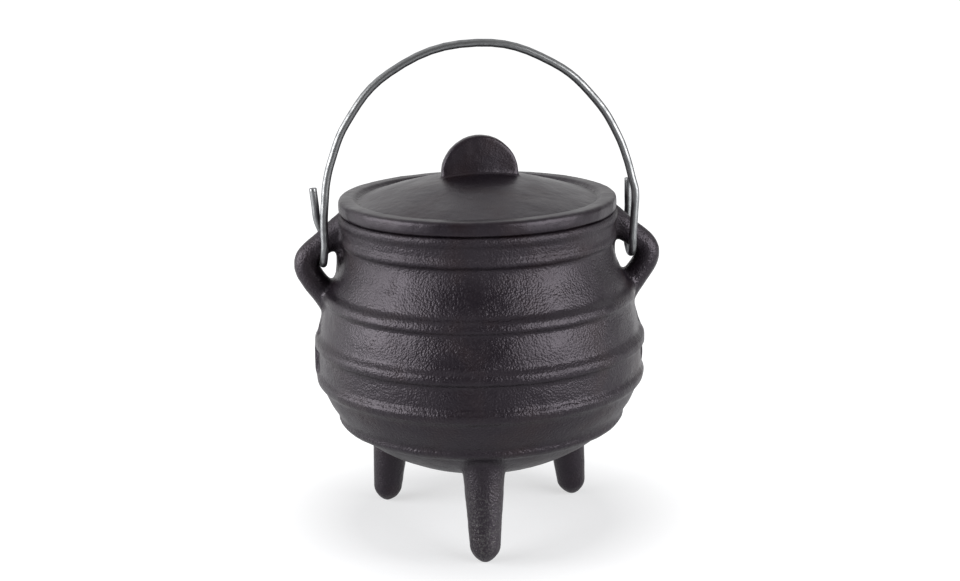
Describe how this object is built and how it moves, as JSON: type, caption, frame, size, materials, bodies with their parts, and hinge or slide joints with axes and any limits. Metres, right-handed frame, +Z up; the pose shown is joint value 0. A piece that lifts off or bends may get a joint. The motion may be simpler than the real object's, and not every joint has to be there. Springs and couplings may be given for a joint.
{
  "type": "cauldron",
  "caption": "Small cast-iron cauldron on splayed feet, with a lift-off lid, a half-round lid grip and a swinging wire bail.",
  "frame": {"origin": "on the floor under the middle of the pot", "axes": "+Z up; X runs through both ears and is the axis the bail swings about; -Y is the side with the front leg"},
  "size_m": [0.1426, 0.129, 0.1935],
  "materials": {
    "cast_iron": "rough sand-cast skin, dark, dull with a satin sheen on its grains",
    "lid_iron": "sand-cast skin, a little finer and lighter than the pot",
    "galvanised_wire": "bright zinc-coated wire, drawn and bent by hand"
  },
  "bodies": {
    "pot": {"pot_body": "cast_iron", "leg_front": "cast_iron", "leg_left": "cast_iron", "leg_right": "cast_iron", "ear_left": "cast_iron", "ear_right": "cast_iron"},
    "lid": {"lid_disc": "lid_iron", "lid_grip": "lid_iron"},
    "bail": {"bail": "galvanised_wire"}
  },
  "joints": [
    {"name": "lid_lift", "type": "slide", "parent": "pot", "child": "lid", "axis": [0, 0, 1], "range_m": [0, 0.015]},
    {"name": "bail_swing", "type": "hinge", "parent": "pot", "child": "bail", "pos_m": [0, 0, 0.116], "axis": [1, 0, 0], "range_deg": [-92, 105]}
  ]
}
